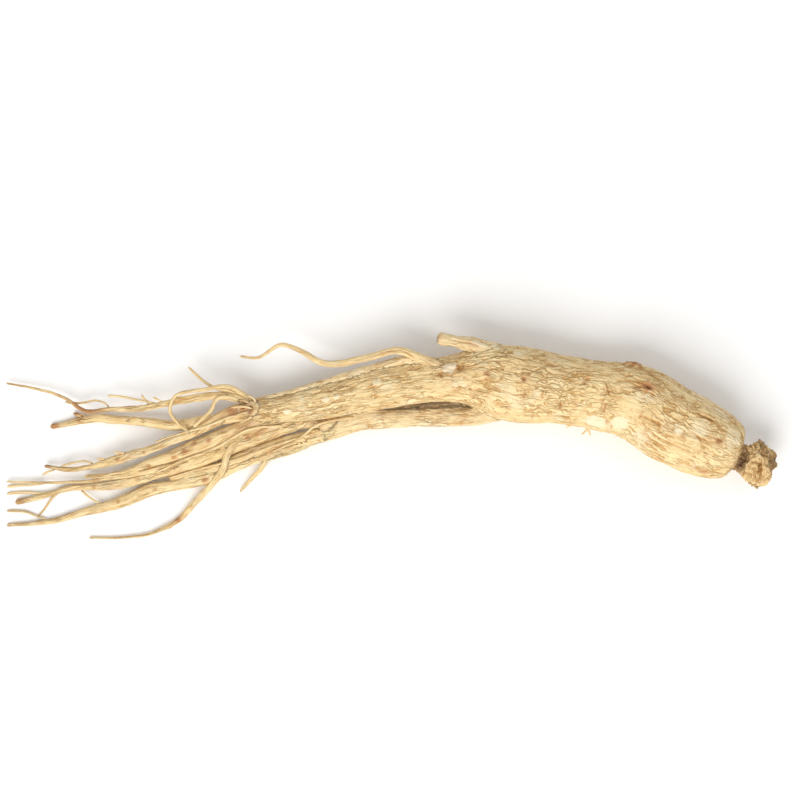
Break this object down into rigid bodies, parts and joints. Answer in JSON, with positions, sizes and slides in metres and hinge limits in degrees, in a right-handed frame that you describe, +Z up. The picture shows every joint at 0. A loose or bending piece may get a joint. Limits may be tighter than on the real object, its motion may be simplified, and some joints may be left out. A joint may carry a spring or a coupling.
{
  "type": "dried ginseng root",
  "caption": "Dried ginseng root: scarred crown knob, stout wrinkled trunk, forked legs and a long bundle of thin tail rootlets, lying on its belly.",
  "frame": {"origin": "under the middle of the root's length and spread, on the surface it lies on", "axes": "+X runs along the root towards its crown; +Z is up, away from the surface it lies on; +Y is towards the side of the broken branch"},
  "size_m": [0.2186, 0.0584, 0.0198],
  "materials": {
    "dried_root": "dry, matt, wrinkled bark in pale cream with tan creases and reddish-brown scars"
  },
  "bodies": {
    "root": {"ginseng_root": "dried_root"}
  },
  "joints": []
}
